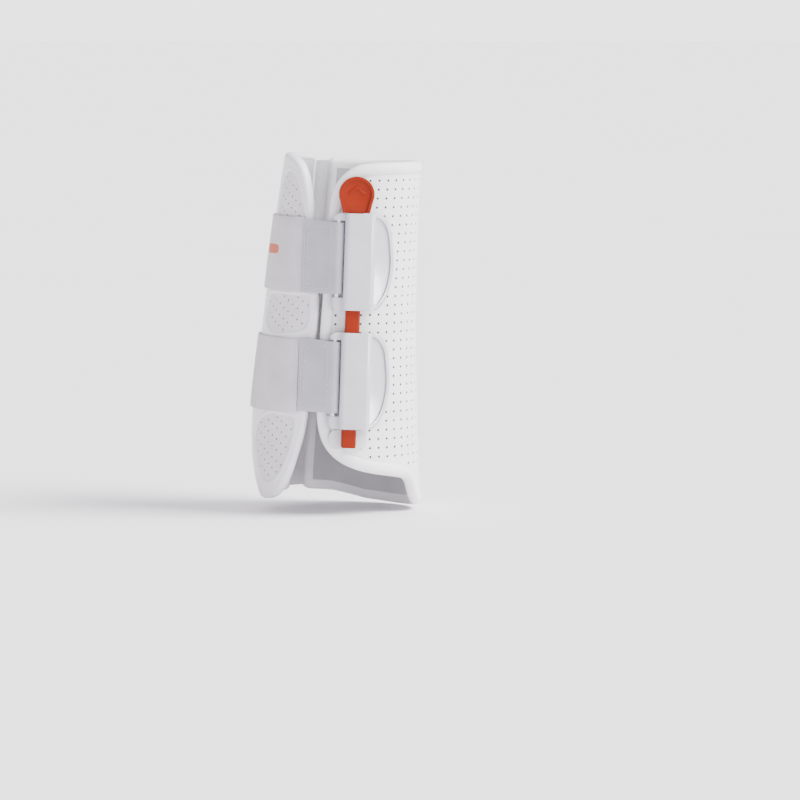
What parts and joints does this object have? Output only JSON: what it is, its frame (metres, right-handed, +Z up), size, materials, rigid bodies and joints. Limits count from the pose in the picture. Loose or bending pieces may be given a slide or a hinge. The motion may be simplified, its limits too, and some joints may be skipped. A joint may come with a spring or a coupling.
{
  "type": "horse tendon boot",
  "caption": "Padded wrap boot for a horse's lower leg, closed on its outer side by elastic straps whose clasps hook over a pull-out stick.",
  "frame": {"origin": "on the leg's axis inside the wrap, at the height of the boot's lowest edge", "axes": "+Z up the leg, +X towards the front of the leg, -Y the outer side with the clasps"},
  "size_m": [0.1187, 0.0975, 0.2464],
  "materials": {
    "moulded_shell": "smooth moulded white shell of the tendon half, slightly soft sheen",
    "tendon_mesh": "white mesh with small holes on a slanted grid",
    "foam": "closed-cell foam padding, sealed inside",
    "lining": "light grey brushed lining",
    "binding": "soft white turned edge",
    "gusset": "flexible white fabric between the halves",
    "elastic": "fine ribbed white elastic, lightly grey",
    "strap_tab": "dense woven grey-white webbing with a stitched outline",
    "perforated_panel": "white synthetic leather with a square grid of holes",
    "rail": "white moulded rail and foot",
    "backing": "stiff dark plastic strip inside the foam",
    "steel": "plain bright steel",
    "stick": "orange moulded plastic with a soft gloss",
    "clasp": "white moulded plastic with a clear gloss"
  },
  "bodies": {
    "tendon_half": {"tendon_shell": "moulded_shell", "outer_mesh_upper": "tendon_mesh", "outer_mesh_middle": "tendon_mesh", "outer_mesh_lower": "tendon_mesh", "inner_mesh_upper": "tendon_mesh", "inner_mesh_middle": "tendon_mesh", "inner_mesh_lower": "tendon_mesh", "tendon_foam": "foam", "tendon_lining": "lining", "tendon_binding": "binding", "inner_gusset": "gusset", "upper_elastic_strap": "elastic", "lower_elastic_strap": "elastic"},
    "front_half": {"front_panel": "perforated_panel", "front_foam": "foam", "front_lining": "lining", "front_binding": "binding", "rail_base": "rail", "rail_backing_plate": "backing", "rail_screw_1": "steel", "rail_screw_2": "steel", "rail_screw_3": "steel", "rail_screw_4": "steel"},
    "stick": {"release_stick": "stick"},
    "upper_strap_end": {"upper_strap_tab": "strap_tab"},
    "lower_strap_end": {"lower_strap_tab": "strap_tab"},
    "upper_hook": {"upper_clasp": "clasp", "upper_strap_bar": "steel"},
    "lower_hook": {"lower_clasp": "clasp", "lower_strap_bar": "steel"}
  },
  "joints": [
    {"name": "wrap_open", "type": "hinge", "parent": "tendon_half", "child": "front_half", "pos_m": [-0.02567, 0.0389, 0.131], "axis": [0.0847, -0.0254, 0.9961], "range_deg": [0, 24]},
    {"name": "upper_strap_swing", "type": "hinge", "parent": "tendon_half", "child": "upper_strap_end", "pos_m": [-0.03136, -0.03709, 0.17542], "axis": [-0.0342, -0.0216, -0.9992], "range_deg": [0, 120]},
    {"name": "lower_strap_swing", "type": "hinge", "parent": "tendon_half", "child": "lower_strap_end", "pos_m": [-0.03396, -0.04044, 0.09442], "axis": [-0.0342, -0.0216, -0.9992], "range_deg": [0, 120]},
    {"name": "upper_clasp_tilt", "type": "hinge", "parent": "upper_strap_end", "child": "upper_hook", "pos_m": [-0.00628, -0.0453, 0.17474], "axis": [-0.0342, -0.0216, -0.9992], "range_deg": [0, 70]},
    {"name": "lower_clasp_tilt", "type": "hinge", "parent": "lower_strap_end", "child": "lower_hook", "pos_m": [-0.00906, -0.04706, 0.09371], "axis": [-0.0342, -0.0216, -0.9992], "range_deg": [0, 70]},
    {"name": "release_stick_slide", "type": "slide", "parent": "front_half", "child": "stick", "axis": [0.0342, 0.0216, 0.9992], "range_m": [0, 0.15]}
  ],
  "couplings": [
    {"joint": "upper_strap_swing", "follows": "wrap_open", "ratio": 5},
    {"joint": "lower_strap_swing", "follows": "wrap_open", "ratio": 5}
  ]
}
